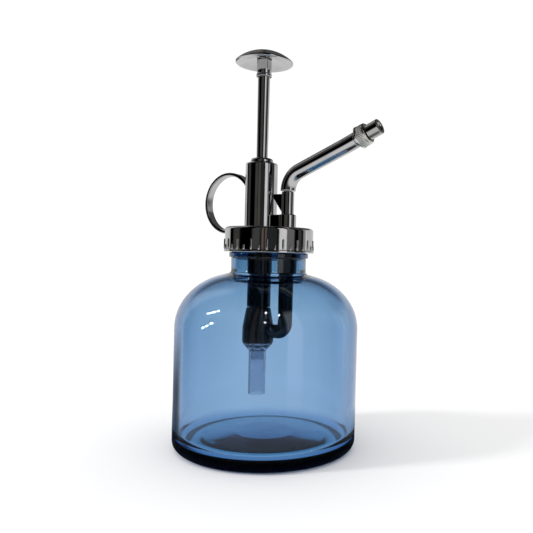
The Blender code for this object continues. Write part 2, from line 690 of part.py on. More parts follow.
def spout_tube(material):
    """Bent tube with a thinner spigot that stands in the post."""
    spigot = POST_BORE - GAP
    start = (SPOUT_X, SPOUT_BEND_START)
    stations = [((SPOUT_X, 0, SPOUT_SPIGOT_BOTTOM), (0, 0, 1), spigot, SPOUT_INNER)]
    stations.append(((SPOUT_X, 0, SPOUT_BEND_START), (0, 0, 1), spigot, SPOUT_INNER))
    stations += bend_stations(start, 90 - SPOUT_RISE, SPOUT_BEND, 8, SPOUT_RADIUS, SPOUT_INNER)
    direction = Vector((cos(radians(SPOUT_RISE)), 0, sin(radians(SPOUT_RISE))))
    end = Vector((NOZZLE_X, 0, NOZZLE_Z)) - SPOUT_SETBACK * direction
    deep = end - SPOUT_SOCKET_DEPTH * direction
    stations.append((deep, direction, SPOUT_RADIUS, SPOUT_INNER))
    stations.append((deep, direction, SPOUT_RADIUS, SPOUT_SOCKET_RADIUS))
    stations.append((end, direction, SPOUT_RADIUS, SPOUT_SOCKET_RADIUS))
    new_piece("spout_tube", swept(stations, 20), None, material)


def nozzle(axis, chrome, satin, rubber, plastic):
    """Along the spout's axis: fixed nipple, then the nut, tip, washer and swirl insert that screw on it."""
    back, plug = NIPPLE_PLUG
    flange_back, flange_front, flange = NIPPLE_FLANGE
    front, thread = NIPPLE_THREAD
    nipple = [(NIPPLE_BORE, back), (plug, back), (plug, flange_back), (flange, flange_back)]
    nipple += [(flange, flange_front), (thread, flange_front), (thread, front), (NIPPLE_BORE, front)]
    new_piece("nozzle_nipple", turned(nipple, 20, hollow=True), axis, chrome)

    flange_back, flange_front, flange = NUT_FLANGE
    body_back, body_front, body = NUT_BODY
    front_back, front, front_radius = NUT_FRONT
    counterbore_back, counterbore = NUT_COUNTERBORE
    nut = [(NUT_BORE, flange_back), (flange, flange_back), (flange, flange_front), (body, body_back)]
    nut += [(body, body_front), (front_radius, front_back), (front_radius, front), (counterbore, front)]
    nut += [(counterbore, counterbore_back), (NUT_BORE, counterbore_back)]
    piece = new_piece("nozzle_nut", turned(nut, 32, hollow=True), axis, satin)
    fuse(piece, helper("nut_knurl", nut_knurl(), axis))

    cone_back, cone = ORIFICE_CONE
    tip = [(TIP_BORE, TIP_BACK), (TIP_RADIUS, TIP_BACK), (TIP_RADIUS, TIP_FRONT - 0.3)]
    tip += [(TIP_FACE_RADIUS, TIP_FRONT), (cone, TIP_FRONT), (ORIFICE_RADIUS, cone_back)]
    tip += [(ORIFICE_RADIUS, TIP_FACE_BACK), (TIP_BORE, TIP_FACE_BACK)]
    new_piece("nozzle_tip", turned(tip, 24, hollow=True), axis, satin)
    new_piece("nozzle_washer", turned(tube_outline(*WASHER), 16, hollow=True), axis, rubber)
    new_piece("swirl_insert", turned(rod_outline(*INSERT), 12), axis, plastic)


def nut_knurl():
    """Straight knurl: small bars round the nut."""
    shape = bmesh.new()
    for i in range(KNURL_BARS):
        turn = Matrix.Rotation(2 * pi * i / KNURL_BARS, 4, "Z")
        place = Matrix.Translation((KNURL_RADIUS, 0, KNURL_MIDDLE))
        matrix = turn @ place @ Matrix.Diagonal((*KNURL_SIZE, 1.0))
        bmesh.ops.create_cube(shape, size=1.0, matrix=matrix)
    return shape


def cap_liner(material):
    outline = tube_outline(CAP_BORE - 0.5, NECK_BORE, BOTTLE_TOP + GAP, DECK_UNDERSIDE - GAP)
    new_piece("cap_liner", turned(outline, 32, hollow=True), None, material)


def build():
    clear_scene()
    glass = finish("blue glass", (0.10, 0.27, 0.50), 0.0, 0.03, 1.0, 1.0)
    chrome = finish("chrome plate", (0.80, 0.81, 0.82), 1.0, 0.06)
    satin = finish("satin nickel", (0.62, 0.61, 0.56), 1.0, 0.28)
    steel = finish("stainless steel", (0.60, 0.60, 0.60), 1.0, 0.2)
    dark = finish("dark plastic", (0.02, 0.03, 0.04), 0.0, 0.35)
    clear = finish("translucent plastic", (0.75, 0.82, 0.90), 0.0, 0.15, 0.6, 0.8)
    white = finish("white plastic", (0.80, 0.80, 0.78), 0.0, 0.4)
    rubber = finish("black rubber", (0.03, 0.03, 0.03), 0.0, 0.7)

    pump_axis = axis_empty("pump_axis", PUMP_X)
    spout_axis = axis_empty("spout_axis", SPOUT_X)
    nozzle_axis = axis_empty("nozzle_axis", NOZZLE_X, NOZZLE_Z, 90 - SPOUT_RISE)

    bottle(glass)
    cap_liner(white)
    pump_head(pump_axis, spout_axis, chrome)
    rod_guide(pump_axis, chrome, rubber)
    plunger(pump_axis, chrome, steel, white, rubber)
    cylinder(pump_axis, dark)
    valve_housing(pump_axis, dark)
    inlet(pump_axis, clear, steel, white)
    return_spring(pump_axis, steel)
    delivery(spout_axis, dark, steel)
    spout_tube(chrome)
    nozzle(nozzle_axis, chrome, satin, rubber, white)


build()
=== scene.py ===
"""Looks of the glass hand mister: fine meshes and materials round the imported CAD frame."""

import json
from math import asin, cos, degrees, pi, radians, sin, tan

import bmesh
import bpy
from mathutils import Matrix, Vector

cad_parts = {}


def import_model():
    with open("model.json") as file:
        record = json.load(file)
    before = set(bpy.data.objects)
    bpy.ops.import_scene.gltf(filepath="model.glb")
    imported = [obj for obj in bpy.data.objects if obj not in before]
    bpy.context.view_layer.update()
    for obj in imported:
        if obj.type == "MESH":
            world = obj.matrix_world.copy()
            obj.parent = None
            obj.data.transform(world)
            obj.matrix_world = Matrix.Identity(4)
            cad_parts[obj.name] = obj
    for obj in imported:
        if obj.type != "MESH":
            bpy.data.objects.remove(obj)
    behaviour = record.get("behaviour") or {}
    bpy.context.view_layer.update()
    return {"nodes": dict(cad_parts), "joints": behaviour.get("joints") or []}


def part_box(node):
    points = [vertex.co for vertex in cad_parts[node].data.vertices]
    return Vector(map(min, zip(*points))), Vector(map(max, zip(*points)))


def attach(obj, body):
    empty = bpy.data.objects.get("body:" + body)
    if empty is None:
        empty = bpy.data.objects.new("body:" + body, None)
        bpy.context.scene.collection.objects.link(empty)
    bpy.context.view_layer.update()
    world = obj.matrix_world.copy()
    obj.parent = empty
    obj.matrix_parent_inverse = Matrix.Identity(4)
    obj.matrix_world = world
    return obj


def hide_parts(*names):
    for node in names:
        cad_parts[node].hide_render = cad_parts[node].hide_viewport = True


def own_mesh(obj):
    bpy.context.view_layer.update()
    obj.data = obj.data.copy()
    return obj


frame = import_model()

MM = 0.001
GAP = 0.3  # clearance between pieces that are screwed or pressed together, in mm
SUNK = 0.5  # how far a visual piece of the casting is sunk into the one below, in mm


def middle(node):
    low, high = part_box(node)
    return (low + high) / 2


# Places, in millimetres, read from the frame.
PUMP_X = middle("plunger_rod").x / MM
SPOUT_X = middle("delivery_socket").x / MM
BOTTLE_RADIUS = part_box("bottle")[1].x / MM
BOTTLE_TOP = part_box("bottle")[1].z / MM
HEAD_LOW, HEAD_HIGH = (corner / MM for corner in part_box("pump_head"))
CAP_BOTTOM = HEAD_LOW.z
BARREL_TOP = HEAD_HIGH.z
CAP_LIP = HEAD_HIGH.y
CAP_RADIUS = CAP_LIP - 0.4
CAP_TOP = CAP_BOTTOM + 11.6
BARREL_RADIUS = 7.6
BARREL_BORE = 6.2
POST_RADIUS = 2.9
OUTLET_RADIUS = 1.8
BUTTON_LOW, BUTTON_HIGH = (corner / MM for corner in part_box("thumb_button"))
COLLAR_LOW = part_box("button_collar")[0] / MM
ROD_LOW, ROD_HIGH = (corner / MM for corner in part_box("plunger_rod"))
SPRING_LOW, SPRING_HIGH = (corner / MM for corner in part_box("return_spring"))
PIPE_LOW, PIPE_HIGH = (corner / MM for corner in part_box("delivery_tube"))
SOCKET_LOW, SOCKET_HIGH = (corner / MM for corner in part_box("delivery_socket"))
HOUSING_LOW, HOUSING_HIGH = (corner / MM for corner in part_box("valve_housing"))
CYLINDER_LOW, CYLINDER_HIGH = (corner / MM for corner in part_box("pump_cylinder"))
DIP_LOW, DIP_HIGH = (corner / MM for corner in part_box("dip_tube"))

turn_joint = next(j for j in frame["joints"] if j["name"] == "nozzle_turn")
NOZZLE_ORIGIN = Vector(turn_joint["pos_m"]) / MM
NOZZLE_AXIS = Vector(turn_joint["axis"]).normalized()
SPOUT_RISE = degrees(asin(NOZZLE_AXIS.z))


# ---------------------------------------------------------------- mesh tools

def rounded(corners, steps=5):
    """A polyline from (radius, height, fillet) corners, with a tangent arc at each fillet."""
    points = []
    count = len(corners)
    for i, (r, z, fillet) in enumerate(corners):
        here = Vector((r, z))
        if not fillet or i in (0, count - 1):
            points.append((r, z))
            continue
        back = (Vector(corners[i - 1][:2]) - here).normalized()
        ahead = (Vector(corners[i + 1][:2]) - here).normalized()
        half = back.angle(ahead) / 2
        reach = fillet / tan(half)
        centre = here + (back + ahead).normalized() * (fillet / sin(half))
        first = here + back * reach - centre
        last = here + ahead * reach - centre
        sweep = first.angle_signed(last)
        for k in range(steps + 1):
            arm = Matrix.Rotation(-sweep * k / steps, 2) @ first
            points.append(tuple(centre + arm))
    return points


def arc(centre_r, centre_z, radius_r, radius_z, start, end, steps):
    """Points on an ellipse in the (radius, height) plane, between two angles in degrees."""
    angles = [radians(start + (end - start) * i / steps) for i in range(steps + 1)]
    return [(centre_r + radius_r * cos(a), centre_z + radius_z * sin(a)) for a in angles]


def linked(name, data):
    """A new object in the scene that holds this data."""
    obj = bpy.data.objects.new(name, data)
    bpy.context.scene.collection.objects.link(obj)
    return obj


def mesh_from(name, shape):
    """A mesh from a bmesh, which is used up."""
    mesh = bpy.data.meshes.new(name)
    shape.to_mesh(mesh)
    shape.free()
    return mesh


def add_copy(whole, part):
    """Adds one bmesh to another, and frees the first."""
    mesh = mesh_from("part", part)
    whole.from_mesh(mesh)
    bpy.data.meshes.remove(mesh)


def piece(
    name, shape, body, material, slot, replaces=(), place=None, weighted=True, sharp=None
):
    """An object from a bmesh in millimetres, in the row frame, riding on a CAD body."""
    bmesh.ops.remove_doubles(shape, verts=shape.verts, dist=0.0005)
    bare = [edge for edge in shape.edges if not edge.link_faces]
    bmesh.ops.delete(shape, geom=bare, context="EDGES")
    bmesh.ops.recalc_face_normals(shape, faces=shape.faces)
    if place:
        bmesh.ops.transform(shape, matrix=place, verts=shape.verts)
    bmesh.ops.scale(shape, vec=(MM, MM, MM), verts=shape.verts)
    mesh = mesh_from(name, shape)
    mesh.shade_smooth()
    if sharp:
        mesh.set_sharp_from_angle(angle=radians(sharp))
    obj = linked(name, mesh)
    mesh.materials.append(material)
    if weighted:
        modifier = obj.modifiers.new("even shading", "WEIGHTED_NORMAL")
        modifier.keep_sharp = True
    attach(obj, body)
    if replaces:
        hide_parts(*replaces)
    return obj


def lathe(outline, sides, hollow=False):
    shape = bmesh.new()
    points = [shape.verts.new((r, 0.0, z)) for r, z in outline]
    edges = [shape.edges.new(pair) for pair in zip(points, points[1:])]
    if hollow:
        edges.append(shape.edges.new((points[-1], points[0])))
    bmesh.ops.spin(
        shape,
        geom=points + edges,
        angle=2 * pi,
        steps=sides,
        axis=(0, 0, 1),
        cent=(0, 0, 0),
        use_merge=True,
    )
    return shape


def hollow_loop(corners, steps=5):
    """A closed, filleted outline. The first and last corners get their fillets too."""
    round_trip = [corners[-1], *corners, corners[0]]
    return rounded(round_trip, steps)[1:-1]


def tube_corners(outer, inner, bottom, top, fillet):
    return [
        (outer, bottom, fillet),
        (outer, top, fillet),
        (inner, top, fillet),
        (inner, bottom, fillet),
    ]


def turned(name, corners, sides, body, material, slot, node, place, steps=5):
    """A turned piece with a hole through it, which stands for one CAD node."""
    shape = lathe(hollow_loop(corners, steps), sides, hollow=True)
    piece(name, shape, body, material, slot, [node], place)


def about(x, z=0.0):
    """A place in the XZ plane, such as an upright axis at x."""
    return Matrix.Translation((x, 0, z))


def thicken(shape, face, step):
    """Extrudes a face by a step."""
    raised = bmesh.ops.extrude_face_region(shape, geom=[face])
    moved = [v for v in raised["geom"] if isinstance(v, bmesh.types.BMVert)]
    bmesh.ops.translate(shape, vec=step, verts=moved)


def join_loops(shape, first, second):
    count = len(first)
    for i in range(count):
        j = (i + 1) % count
        shape.faces.new((first[i], first[j], second[j], second[i]))


def swept(stations, sides):
    """A pipe in the XZ plane through (point, direction, outer radius, inner radius)."""
    shape = bmesh.new()
    across = Vector((0, 1, 0))
    loops = []
    for point, direction, *radii in stations:
        upward = Vector(direction).cross(across).normalized()
        pair = []
        for radius in radii:
            ring = []
            for i in range(sides):
                angle = 2 * pi * i / sides
                offset = across * cos(angle) + upward * sin(angle)
                ring.append(shape.verts.new(Vector(point) + offset * radius))
            pair.append(ring)
        loops.append(pair)
    for near, far in zip(loops, loops[1:]):
        for skin in (0, 1):
            join_loops(shape, near[skin], far[skin])
    for end in (loops[0], loops[-1]):
        join_loops(shape, end[0], end[1])
    return shape


# ---------------------------------------------------------------- materials

# Scales of the noise in the materials, in patterns per metre.
SMUDGE = 130
BRUSHING = 2500
PEEL = 420
MOTTLE = 260
GRAIN = 900
WAVER = 34
PAPER = 12

GLASS_IOR = 1.52
PLASTIC_IOR = 1.48


def new_material(name):
    material = bpy.data.materials.new(name)
    material.use_nodes = True
    nodes = material.node_tree.nodes
    return material, nodes, material.node_tree.links, nodes["Principled BSDF"]


def noise(nodes, links, scale, detail, stretch=(1, 1, 1)):
    """A noise texture in object space, which is in metres."""
    coordinates = nodes.new("ShaderNodeTexCoord")
    mapping = nodes.new("ShaderNodeMapping")
    mapping.inputs["Scale"].default_value = stretch
    texture = nodes.new("ShaderNodeTexNoise")
    texture.inputs["Scale"].default_value = scale
    texture.inputs["Detail"].default_value = detail
    texture.inputs["Roughness"].default_value = 0.5
    links.new(coordinates.outputs["Object"], mapping.inputs["Vector"])
    links.new(mapping.outputs["Vector"], texture.inputs["Vector"])
    return texture.outputs["Fac"]


def spread(nodes, links, value, low, high, from_low=0.3, from_high=0.7):
    """A value's range made into another. The default takes the part of a noise that varies."""
    ranged = nodes.new("ShaderNodeMapRange")
    ranged.inputs["From Min"].default_value = from_low
    ranged.inputs["From Max"].default_value = from_high
    ranged.inputs["To Min"].default_value = low
    ranged.inputs["To Max"].default_value = high
    links.new(value, ranged.inputs["Value"])
    return ranged.outputs["Result"]


def bump(nodes, links, shader, height, distance):
    node = nodes.new("ShaderNodeBump")
    node.inputs["Distance"].default_value = distance
    node.inputs["Strength"].default_value = 1.0
    links.new(height, node.inputs["Height"])
    links.new(node.outputs["Normal"], shader.inputs["Normal"])


def tinted(nodes, links, shader, value, dark, light):
    ramp = nodes.new("ShaderNodeMix")
    ramp.data_type = "RGBA"
    ramp.inputs["A"].default_value = (*dark, 1)
    ramp.inputs["B"].default_value = (*light, 1)
    links.new(value, ramp.inputs["Factor"])
    links.new(ramp.outputs["Result"], shader.inputs["Base Color"])


def metal(name, dark, light, rough_low, rough_high, brushed=False):
    material, nodes, links, shader = new_material(name)
    shader.inputs["Metallic"].default_value = 1.0
    smudge = noise(nodes, links, SMUDGE, 4.0)
    tinted(nodes, links, shader, spread(nodes, links, smudge, 0, 1), dark, light)
    roughness = spread(nodes, links, smudge, rough_low, rough_high)
    links.new(roughness, shader.inputs["Roughness"])
    if brushed:
        grain = noise(nodes, links, BRUSHING, 2.0, stretch=(1, 1, 0.15))
        bump(nodes, links, shader, grain, 0.006 * MM)
    else:
        peel = noise(nodes, links, PEEL, 2.0)
        bump(nodes, links, shader, peel, 0.005 * MM)
    return material


def plastic(
    name, dark, light, rough_low, rough_high, transmission=0.0, grain=0.00002
):
    material, nodes, links, shader = new_material(name)
    shader.inputs["Transmission Weight"].default_value = transmission
    shader.inputs["IOR"].default_value = PLASTIC_IOR
    mottle = noise(nodes, links, MOTTLE, 4.0)
    tinted(nodes, links, shader, spread(nodes, links, mottle, 0, 1), dark, light)
    roughness = spread(nodes, links, mottle, rough_low, rough_high)
    links.new(roughness, shader.inputs["Roughness"])
    bump(nodes, links, shader, noise(nodes, links, GRAIN, 3.0), grain)
    return material


def glass(name):
    """Glass coloured through its thickness, whose faces waver a little, with painted shade in
    its surface colour on the base, the neck and the bead.
    """
    material, nodes, links, shader = new_material(name)
    shader.inputs["Transmission Weight"].default_value = 1.0
    shader.inputs["IOR"].default_value = GLASS_IOR
    shader.inputs["Specular IOR Level"].default_value = 0.3
    shader.inputs["Roughness"].default_value = 0.0
    coordinates = nodes.new("ShaderNodeTexCoord")
    split = nodes.new("ShaderNodeSeparateXYZ")
    links.new(coordinates.outputs["Object"], split.inputs[0])
    level = nodes.new("ShaderNodeVectorMath")
    level.operation = "MULTIPLY"
    level.inputs[1].default_value = (1, 1, 0)
    links.new(coordinates.outputs["Object"], level.inputs[0])
    reach = nodes.new("ShaderNodeVectorMath")
    reach.operation = "LENGTH"
    links.new(level.outputs["Vector"], reach.inputs[0])
    # Painted shade: the base's surface colour is darkened near the axis and low down.
    base_shade = nodes.new("ShaderNodeMath")
    base_shade.operation = "MULTIPLY"
    near_axis = spread(nodes, links, reach.outputs["Value"], 1, 0, *BASE_SHADE_REACH)
    near_floor = spread(nodes, links, split.outputs["Z"], 1, 0, *BASE_SHADE_HEIGHT)
    links.new(near_axis, base_shade.inputs[0])
    links.new(near_floor, base_shade.inputs[1])
    # Painted shade by height: the neck darker and the bead darker still, while the body stays
    # clear and the shoulder a little warm.
    ramp = nodes.new("ShaderNodeValToRGB")
    ramp.color_ramp.elements[0].color = (*CLEAR_TONE, 1)
    ramp.color_ramp.elements[1].color = (*BEAD_PAINTED_SHADE, 1)
    for z, tone in TONES_BY_HEIGHT:
        ramp.color_ramp.elements.new(z / TONES_TOP).color = (*tone, 1)
    height = spread(nodes, links, split.outputs["Z"], 0, 1, 0.0, TONES_TOP)
    links.new(height, ramp.inputs["Fac"])
    mixed = nodes.new("ShaderNodeMix")
    mixed.data_type = "RGBA"
    mixed.inputs["B"].default_value = (*BASE_PAINTED_SHADE, 1)
    links.new(base_shade.outputs[0], mixed.inputs["Factor"])
    links.new(ramp.outputs["Color"], mixed.inputs["A"])
    links.new(mixed.outputs["Result"], shader.inputs["Base Color"])
    waver = noise(nodes, links, WAVER, 1.5, stretch=(1, 1, 0.6))
    bump(nodes, links, shader, waver, 0.25 * MM)
    volume = nodes.new("ShaderNodeVolumeAbsorption")
    volume.inputs["Color"].default_value = (*GLASS_COLOUR, 1)
    volume.inputs["Density"].default_value = GLASS_DENSITY
    links.new(volume.outputs["Volume"], nodes["Material Output"].inputs["Volume"])
    return material


# Surface colour of the glass, with painted shade on the base, the neck and the bead. Lengths
# are in metres: the base's painted shade fades between two radii and two heights, and the
# others follow one another by height.
# Painted shade on the base, with the radii and heights over which it fades out.
BASE_PAINTED_SHADE = (0.30, 0.60, 0.74)
BASE_SHADE_REACH = (0.0325, 0.0365)
BASE_SHADE_HEIGHT = (0.0080, 0.0095)
CLEAR_TONE = (1.0, 1.0, 1.0)
SHOULDER_TONE = (1.0, 1.0, 0.97)
# Painted shade on the neck, and a darker painted shade on the bead just below the skirt.
NECK_PAINTED_SHADE = (0.52, 0.66, 0.74)
BEAD_PAINTED_SHADE = (0.10, 0.20, 0.30)
TONES_TOP = 0.0935
TONES_BY_HEIGHT = (
    (0.052, CLEAR_TONE),
    (0.066, SHOULDER_TONE),
    (0.0785, SHOULDER_TONE),
    (0.0825, NECK_PAINTED_SHADE),
    (0.0878, NECK_PAINTED_SHADE),
    (0.0886, BEAD_PAINTED_SHADE),
)
GLASS_COLOUR = (0.0, 0.39, 0.71)
GLASS_DENSITY = 235.0
CHROME = metal("chrome", (0.46, 0.46, 0.465), (0.55, 0.55, 0.555), 0.03, 0.06)
SATIN = metal(
    "satin nickel", (0.58, 0.575, 0.55), (0.72, 0.71, 0.68), 0.2, 0.3, brushed=True
)
NICKEL = metal("polished nickel", (0.40, 0.395, 0.38), (0.48, 0.475, 0.46), 0.05, 0.09)
STEEL = metal(
    "stainless steel", (0.50, 0.50, 0.50), (0.62, 0.61, 0.60), 0.15, 0.28, brushed=True
)
DARK = plastic(
    "dark plastic", (0.002, 0.004, 0.007), (0.004, 0.008, 0.012), 0.08, 0.16
)
CLEAR = plastic(
    "clear plastic", (0.74, 0.77, 0.86), (0.83, 0.86, 0.92), 0.03, 0.08, transmission=0.95
)
WHITE = plastic("white plastic", (0.74, 0.74, 0.72), (0.84, 0.84, 0.82), 0.35, 0.5)
RUBBER = plastic(
    "black rubber", (0.015, 0.015, 0.015), (0.035, 0.035, 0.035), 0.6, 0.8, grain=0.00005
)
GLASS = glass("blue glass")


# ---------------------------------------------------------------- bottle

def bottle():
    """Bottle with a push-up under a thick base, an elliptical shoulder and a beaded neck.

    Its thread is left out: at rest the skirt hides it.
    """
    sides = 160
    wall = 3.0
    heel = 4.5
    body_top = 55.4
    body_step = 7.2
    centre = 13.5
    rise = 25.4
    neck = 17.45
    bore = 15.2
    bead = neck + 1.0
    inner = BOTTLE_RADIUS - wall
    floor_radius, floor_rise = 4.2, 5.2
    outer_line = [(0, 1.6), (12, 1.5)]
    outer_line += arc(30, 0.35, 8, 1.0, 110, 60, 4)
    outer_line += [(BOTTLE_RADIUS - heel - 1.5, 0.0)]
    outer_line += arc(BOTTLE_RADIUS - heel, heel, heel, heel, -90, 0, 12)
    outer_line += [(BOTTLE_RADIUS, 12 + body_step * i) for i in range(6)]
    outer_line += arc(centre, body_top, BOTTLE_RADIUS - centre, rise, 0, 75, 30)
    neck_corners = [(20.6, 80.0, 0), (neck, 80.9, 1.6), (neck, 88.1, 0.3)]
    neck_corners += [(bead, 88.15, 0.35), (bead, 90.3, 0.35), (neck, 90.4, 0.3)]
    neck_corners += [(neck, BOTTLE_TOP, 0.8), (bore, BOTTLE_TOP, 0.7), (bore, 84.0, 0)]
    outer_line += rounded(neck_corners)[1:]
    inner_line = arc(centre - 1.5, body_top, inner - centre + 1.5, rise - 2.6, 82, 0, 26)
    inner_line += [(inner, 48.2 - body_step * i) for i in range(6)]
    inner_line += arc(
        inner - floor_radius, 4.9 + floor_rise, floor_radius, floor_rise, 0, -90, 12
    )
    inner_line += rounded([(31.5, 4.95, 0), (28.5, 5.6, 1.5), (14, 7.0, 4), (0, 7.6, 0)], 4)
    shape = lathe(outer_line + inner_line, sides)
    piece("glass_bottle", shape, "bottle", GLASS, "blue_glass", ["bottle"], weighted=False)


# ---------------------------------------------------------------- pump head

def drill(obj, x, radius, bottom, top):
    """Bores a round hole straight down through an object."""
    shape = bmesh.new()
    bmesh.ops.create_cone(
        shape,
        cap_ends=True,
        segments=80,
        radius1=radius * MM,
        radius2=radius * MM,
        depth=(top - bottom) * MM,
        matrix=about(x * MM, (top + bottom) / 2 * MM),
    )
    cutter = linked("drill", mesh_from("drill", shape))
    cut = obj.modifiers.new("bore", "BOOLEAN")
    cut.operation = "DIFFERENCE"
    cut.object = cutter
    shading = [modifier for modifier in obj.modifiers if modifier.type == "WEIGHTED_NORMAL"]
    for modifier in shading:
        modifier.show_viewport = False
    graph = bpy.context.evaluated_depsgraph_get()
    bored = bpy.data.meshes.new_from_object(obj.evaluated_get(graph))
    obj.modifiers.remove(cut)
    for modifier in shading:
        modifier.show_viewport = True
    obj.data = bored
    bpy.data.objects.remove(cutter)


def skirt():
    """Screw skirt and deck, bored for the barrel and for the outlet."""
    bore = 19.05
    corners = [(bore, CAP_BOTTOM, 0), (CAP_LIP, CAP_BOTTOM, 0.3)]
    corners += [(CAP_LIP, CAP_BOTTOM + 0.9, 0.3), (CAP_RADIUS, CAP_BOTTOM + 1.2, 0.2)]
    corners += [(CAP_RADIUS, CAP_TOP, 1.5), (0, CAP_TOP, 0)]
    underside = CAP_TOP - 1.4
    outline = rounded(corners, 6) + [(0, underside), (bore, underside), (bore, CAP_BOTTOM)]
    shape = lathe(outline, 144)
    obj = piece("screw_skirt", shape, "head", CHROME, "chrome_plate", ["pump_head"])
    for x, radius in ((PUMP_X, BARREL_BORE), (SPOUT_X, OUTLET_RADIUS)):
        drill(obj, x, radius, underside - 1, CAP_TOP + 1)


def grip_ribs():
    """Thin bars with round ends, long and short in turn."""
    shape = bmesh.new()
    count = 36
    radius = 0.5
    bottom = CAP_BOTTOM + 1.5
    for i in range(count):
        top = CAP_BOTTOM + (6.0, 3.4)[i % 2] - radius
        outline = arc(0, bottom, radius, radius, -90, 0, 3)
        outline += arc(0, top, radius, radius, 0, 90, 4)
        rib = lathe(outline, 10)
        angle = 2 * pi * (i + 0.5) / count
        turn = Matrix.Rotation(angle, 4, "Z") @ about(CAP_RADIUS - 0.05)
        bmesh.ops.transform(rib, matrix=turn, verts=rib.verts)
        add_copy(shape, rib)
    piece("grip_ribs", shape, "head", CHROME, "chrome_plate", weighted=False)


def barrel():
    root = CAP_TOP - SUNK
    foot = BARREL_RADIUS + 0.5
    corners = [(BARREL_BORE, root, 0), (foot, root, 0), (foot, CAP_TOP, 0)]
    corners += [(BARREL_RADIUS, CAP_TOP + 0.5, 0.4), (BARREL_RADIUS, BARREL_TOP, 0.8)]
    corners += [(BARREL_BORE, BARREL_TOP, 0.2), (BARREL_BORE, root, 0)]
    shape = lathe(rounded(corners, 6)[:-1], 96, hollow=True)
    piece("barrel", shape, "head", CHROME, "chrome_plate", place=about(PUMP_X))


def boss():
    """Stadium block: a cylinder round the spout, blended by flat sides into the barrel."""
    radius = 4.05
    half = 2.2
    root = CAP_TOP - SUNK
    top = CAP_TOP + 6.0
    near_pump = PUMP_X + 6.9
    shape = bmesh.new()
    outline = []
    wide = asin(half / radius)
    steps = 32
    for k in range(steps + 1):
        angle = -pi + wide + (2 * pi - 2 * wide) * k / steps
        outline.append((SPOUT_X + radius * cos(angle), radius * sin(angle)))
    outline += [(near_pump, half), (near_pump, -half)]
    base = [shape.verts.new((x, y, root)) for x, y in outline]
    thicken(shape, shape.faces.new(base), (0, 0, top - root))
    rim = [edge for edge in shape.edges if all(v.co.z > top - 0.01 for v in edge.verts)]
    bmesh.ops.bevel(shape, geom=rim, offset=0.4, segments=4, profile=0.5, affect="EDGES")
    piece("spout_boss", shape, "head", CHROME, "chrome_plate", sharp=35)
    post_top = CAP_TOP + 16.4
    post_bore = 2.3
    foot = POST_RADIUS + 0.3
    corners = [(post_bore, top - SUNK, 0), (foot, top - SUNK, 0), (foot, top, 0)]
    corners += [(POST_RADIUS, top + 0.3, 0.2), (POST_RADIUS, post_top, 0.2)]
    corners += [(post_bore, post_top, 0)]
    shape = lathe(rounded(corners), 64, hollow=True)
    piece("spout_post", shape, "head", CHROME, "chrome_plate", place=about(SPOUT_X))


def brace():
    """Thin triangular web between the barrel and the post."""
    half = 1.2
    sunk = 0.4
    top = CAP_TOP + 15.6
    left = PUMP_X + BARREL_RADIUS - sunk
    right = SPOUT_X - POST_RADIUS + sunk
    outline = [(left, top), (left, top - 1.9), (left + 1.4, top - 2.6)]
    outline += [(right, top - 8.8), (right, top)]
    shape = bmesh.new()
    near = shape.faces.new([shape.verts.new((x, -half, z)) for x, z in outline])
    thicken(shape, near, (0, 2 * half, 0))
    every_edge = shape.edges[:]
    bmesh.ops.bevel(
        shape, geom=every_edge, offset=0.3, segments=3, profile=0.5, affect="EDGES"
    )
    piece("spout_brace", shape, "head", CHROME, "chrome_plate", sharp=35)


def finger_ring():
    """Flat band with rounded edges, from the barrel over the left to the skirt."""
    outer_radius = 14.9
    thick = 1.6
    wide = 4.3
    centre = Vector((HEAD_LOW.x + outer_radius, 0, 114.0))
    middle_radius = 14.1
    start = 37.5
    end = 287.0
    steps = 90
    band = [(-thick / 2, -wide / 2), (thick / 2, -wide / 2)]
    band += [(thick / 2, wide / 2), (-thick / 2, wide / 2)]
    section = hollow_loop([(u, v, 0.45) for u, v in band], 4)
    shape = bmesh.new()
    loops = []
    for i in range(steps + 1):
        angle = radians(start + (end - start) * i / steps)
        out = Vector((cos(angle), 0, sin(angle)))
        places = [centre + out * (middle_radius + u) + Vector((0, v, 0)) for u, v in section]
        loops.append([shape.verts.new(place) for place in places])
    for near, far in zip(loops, loops[1:]):
        join_loops(shape, near, far)
    shape.faces.new(loops[0])
    shape.faces.new(loops[-1])
    piece("finger_ring", shape, "head", CHROME, "chrome_plate", sharp=50)


def rod_guide():
    low, high = (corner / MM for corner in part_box("rod_guide"))
    plug = 5.9
    hole = 3.17
    dome = 5.4
    corners = [(hole, low.z, 0.1), (plug, low.z, 0.1), (plug, BARREL_TOP, 0)]
    corners += [(dome, BARREL_TOP + 0.1, 0), (dome, high.z, 1.5), (hole, high.z, 0.25)]
    look = ("head", CHROME, "chrome_plate")
    turned("rod_guide_bush", corners, 80, *look, "rod_guide", about(PUMP_X), 6)


# ---------------------------------------------------------------- plunger

